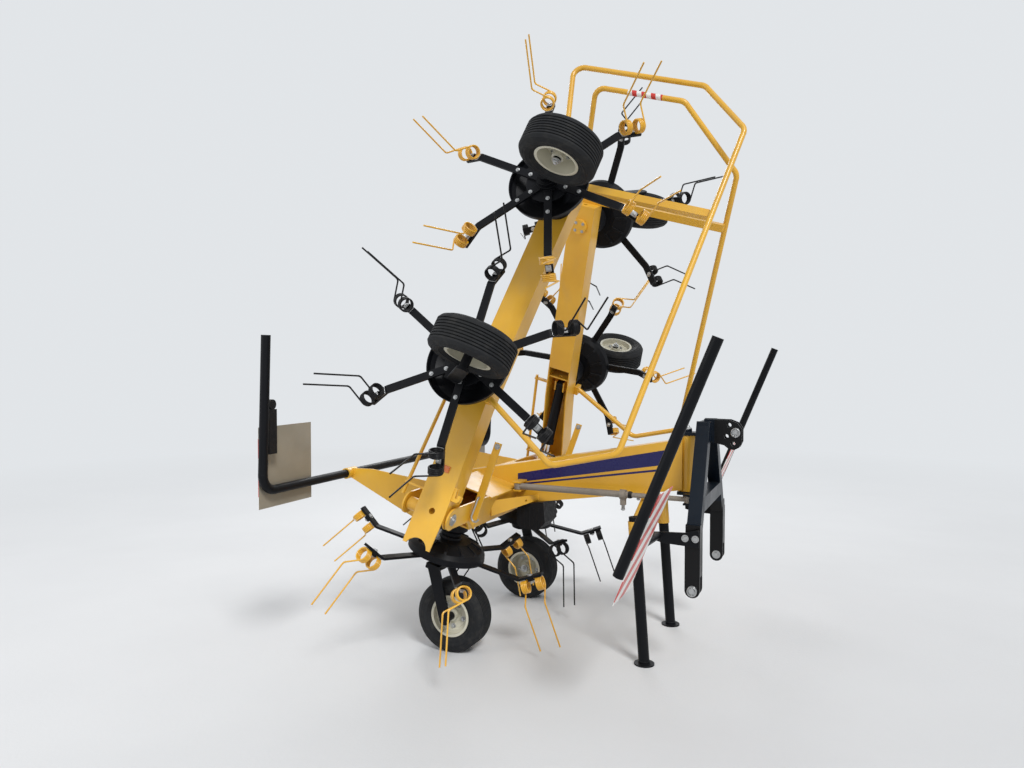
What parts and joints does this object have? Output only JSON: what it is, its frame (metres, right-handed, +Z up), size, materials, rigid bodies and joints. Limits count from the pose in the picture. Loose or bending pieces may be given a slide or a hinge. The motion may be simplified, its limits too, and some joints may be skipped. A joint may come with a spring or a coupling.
{
  "type": "hay tedder",
  "caption": "Tractor mounted hay tedder parked on its stands with the wings folded up, with spinning spring tine rotors over small ground wheels.",
  "frame": {"origin": "on the ground under the middle of the parked machine's bounding box", "axes": "+X forwards to the headstock, +Y to the machine's left, +Z up"},
  "size_m": [2.4827, 2.9264, 3.4401],
  "materials": {
    "yellow_paint": "gloss",
    "blue_film": "gloss",
    "black_paint": "satin",
    "board": "satin",
    "black_plastic": "matt",
    "navy_paint": "satin",
    "zinc": "satin",
    "chrome": "polished",
    "yellow_spring": "gloss",
    "tyre": "matt",
    "cream_paint": "satin",
    "black_spring": "satin"
  },
  "bodies": {
    "frame": {"main_frame": "yellow_paint", "beam_stripes": "blue_film", "rear_arms": "yellow_paint", "light_bar": "black_paint", "rear_boards": "board", "rear_lamps": "black_plastic", "centre_carriers": "black_paint", "drive_cover": "black_plastic", "lock_levers": "yellow_paint"},
    "headstock": {"headstock": "navy_paint", "link_pins": "zinc", "front_bars": "black_paint", "front_boards": "board"},
    "stand_1": {"stand_1": "black_paint"},
    "strut_tube_1": {"strut_tube_1": "zinc"},
    "strut_rod_1": {"strut_rod_1": "zinc"},
    "wing_1": {"wing_beam_1": "yellow_paint", "wing_guard_1": "yellow_paint", "wing_carriers_1": "black_paint"},
    "ram_barrel_1": {"ram_barrel_1": "black_paint"},
    "ram_rod_1": {"ram_rod_1": "chrome"},
    "stand_2": {"stand_2": "black_paint"},
    "strut_tube_2": {"strut_tube_2": "zinc"},
    "strut_rod_2": {"strut_rod_2": "zinc"},
    "wing_2": {"wing_beam_2": "yellow_paint", "wing_guard_2": "yellow_paint", "wing_carriers_2": "black_paint"},
    "ram_barrel_2": {"ram_barrel_2": "black_paint"},
    "ram_rod_2": {"ram_rod_2": "chrome"},
    "rotor_1": {"rotor_1": "black_paint", "tines_1": "yellow_spring"},
    "wheel_1": {"tyre_1": "tyre", "rim_1": "cream_paint"},
    "rotor_2": {"rotor_2": "black_paint", "tines_2": "black_spring"},
    "wheel_2": {"tyre_2": "tyre", "rim_2": "cream_paint"},
    "rotor_3": {"rotor_3": "black_paint", "tines_3": "black_spring"},
    "wheel_3": {"tyre_3": "tyre", "rim_3": "cream_paint"},
    "rotor_4": {"rotor_4": "black_paint", "tines_4": "yellow_spring"},
    "wheel_4": {"tyre_4": "tyre", "rim_4": "cream_paint"},
    "rotor_5": {"rotor_5": "black_paint", "tines_5": "yellow_spring"},
    "wheel_5": {"tyre_5": "tyre", "rim_5": "cream_paint"},
    "rotor_6": {"rotor_6": "black_paint", "tines_6": "black_spring"},
    "wheel_6": {"tyre_6": "tyre", "rim_6": "cream_paint"}
  },
  "joints": [
    {"name": "headstock_swivel", "type": "hinge", "parent": "frame", "child": "headstock", "pos_m": [0.83, 0, 0.86], "axis": [0, 0, 1], "range_deg": [-12, 12]},
    {"name": "stand_slide_1", "type": "slide", "parent": "frame", "child": "stand_1", "axis": [-0.0732, 0, 0.9973], "range_m": [0, 0.3]},
    {"name": "strut_pivot_1", "type": "hinge", "parent": "frame", "child": "strut_tube_1", "pos_m": [-0.165, -0.14, 0.89], "axis": [0, 0, 1], "range_deg": [-1.2, 1.2]},
    {"name": "strut_slide_1", "type": "slide", "parent": "strut_tube_1", "child": "strut_rod_1", "axis": [0.9983, -0.0577, 0], "range_m": [-0.045, 0.045]},
    {"name": "wing_fold_1", "type": "hinge", "parent": "frame", "child": "wing_1", "pos_m": [-0.35, -0.9, 0.86], "axis": [0.9598, 0, -0.2807], "range_deg": [0, 112]},
    {"name": "ram_pivot_1", "type": "hinge", "parent": "wing_1", "child": "ram_barrel_1", "pos_m": [-0.16784, -0.63777, 1.48294], "axis": [-0.9598, 0, 0.2807], "range_deg": [-0.1, 5.5]},
    {"name": "ram_slide_1", "type": "slide", "parent": "ram_barrel_1", "child": "ram_rod_1", "axis": [-0.2773, -0.1536, -0.9484], "range_m": [-0.001, 0.3538]},
    {"name": "stand_slide_2", "type": "slide", "parent": "frame", "child": "stand_2", "axis": [-0.0732, 0, 0.9973], "range_m": [0, 0.3]},
    {"name": "strut_pivot_2", "type": "hinge", "parent": "frame", "child": "strut_tube_2", "pos_m": [-0.165, 0.14, 0.89], "axis": [0, 0, 1], "range_deg": [-1.2, 1.2]},
    {"name": "strut_slide_2", "type": "slide", "parent": "strut_tube_2", "child": "strut_rod_2", "axis": [0.9983, 0.0577, 0], "range_m": [-0.045, 0.045]},
    {"name": "wing_fold_2", "type": "hinge", "parent": "frame", "child": "wing_2", "pos_m": [-0.35, 0.9, 0.86], "axis": [-0.9598, 0, 0.2807], "range_deg": [0, 112]},
    {"name": "ram_pivot_2", "type": "hinge", "parent": "wing_2", "child": "ram_barrel_2", "pos_m": [-0.16784, 0.63777, 1.48294], "axis": [0.9598, 0, -0.2807], "range_deg": [-0.1, 5.5]},
    {"name": "ram_slide_2", "type": "slide", "parent": "ram_barrel_2", "child": "ram_rod_2", "axis": [-0.2773, 0.1536, -0.9484], "range_m": [-0.001, 0.3538]},
    {"name": "rotor_spin_1", "type": "hinge", "parent": "frame", "child": "rotor_1", "pos_m": [-0.42859, -0.55, 0.59125], "axis": [0.2807, 0, 0.9598], "continuous": true},
    {"name": "wheel_spin_1", "type": "hinge", "parent": "frame", "child": "wheel_1", "pos_m": [-0.38525, -0.55, 0.205], "axis": [0, -1, 0], "continuous": true},
    {"name": "rotor_spin_2", "type": "hinge", "parent": "frame", "child": "rotor_2", "pos_m": [-0.42859, 0.55, 0.59125], "axis": [0.2807, 0, 0.9598], "continuous": true},
    {"name": "wheel_spin_2", "type": "hinge", "parent": "frame", "child": "wheel_2", "pos_m": [-0.38525, 0.55, 0.205], "axis": [0, 1, 0], "continuous": true},
    {"name": "rotor_spin_3", "type": "hinge", "parent": "wing_1", "child": "rotor_3", "pos_m": [-0.12539, -0.87866, 1.62811], "axis": [-0.1051, 0.9272, -0.3595], "continuous": true},
    {"name": "wheel_spin_3", "type": "hinge", "parent": "wing_1", "child": "wheel_3", "pos_m": [0.05628, -1.21111, 1.71493], "axis": [0.2602, 0.3746, 0.8899], "continuous": true},
    {"name": "rotor_spin_4", "type": "hinge", "parent": "wing_2", "child": "rotor_4", "pos_m": [-0.12539, 0.87866, 1.62811], "axis": [-0.1051, -0.9272, -0.3595], "continuous": true},
    {"name": "wheel_spin_4", "type": "hinge", "parent": "wing_2", "child": "wheel_4", "pos_m": [0.05628, 1.21111, 1.71493], "axis": [0.2602, -0.3746, 0.8899], "continuous": true},
    {"name": "rotor_spin_5", "type": "hinge", "parent": "wing_1", "child": "rotor_5", "pos_m": [0.16086, -0.46659, 2.60702], "axis": [-0.1051, 0.9272, -0.3595], "continuous": true},
    {"name": "wheel_spin_5", "type": "hinge", "parent": "wing_1", "child": "wheel_5", "pos_m": [0.34253, -0.79905, 2.69384], "axis": [0.2602, 0.3746, 0.8899], "continuous": true},
    {"name": "rotor_spin_6", "type": "hinge", "parent": "wing_2", "child": "rotor_6", "pos_m": [0.16086, 0.46659, 2.60702], "axis": [-0.1051, -0.9272, -0.3595], "continuous": true},
    {"name": "wheel_spin_6", "type": "hinge", "parent": "wing_2", "child": "wheel_6", "pos_m": [0.34253, 0.79905, 2.69384], "axis": [0.2602, -0.3746, 0.8899], "continuous": true}
  ],
  "couplings": [
    {"joint": "strut_pivot_1", "follows": "headstock_swivel", "ratio": 0.05239},
    {"joint": "strut_slide_1", "follows": "headstock_swivel", "m_per_rad": 0.19719},
    {"joint": "ram_pivot_1", "follows": "wing_fold_1", "ratio": 0.04822},
    {"joint": "ram_slide_1", "follows": "wing_fold_1", "m_per_rad": 0.18046},
    {"joint": "strut_pivot_2", "follows": "headstock_swivel", "ratio": 0.05239},
    {"joint": "strut_slide_2", "follows": "headstock_swivel", "m_per_rad": -0.19719},
    {"joint": "ram_pivot_2", "follows": "wing_fold_2", "ratio": 0.04822},
    {"joint": "ram_slide_2", "follows": "wing_fold_2", "m_per_rad": 0.18046},
    {"joint": "rotor_spin_2", "follows": "rotor_spin_1", "ratio": -1},
    {"joint": "rotor_spin_3", "follows": "rotor_spin_1", "ratio": -1},
    {"joint": "rotor_spin_4", "follows": "rotor_spin_1", "ratio": 1},
    {"joint": "rotor_spin_5", "follows": "rotor_spin_1", "ratio": 1},
    {"joint": "rotor_spin_6", "follows": "rotor_spin_1", "ratio": -1}
  ]
}
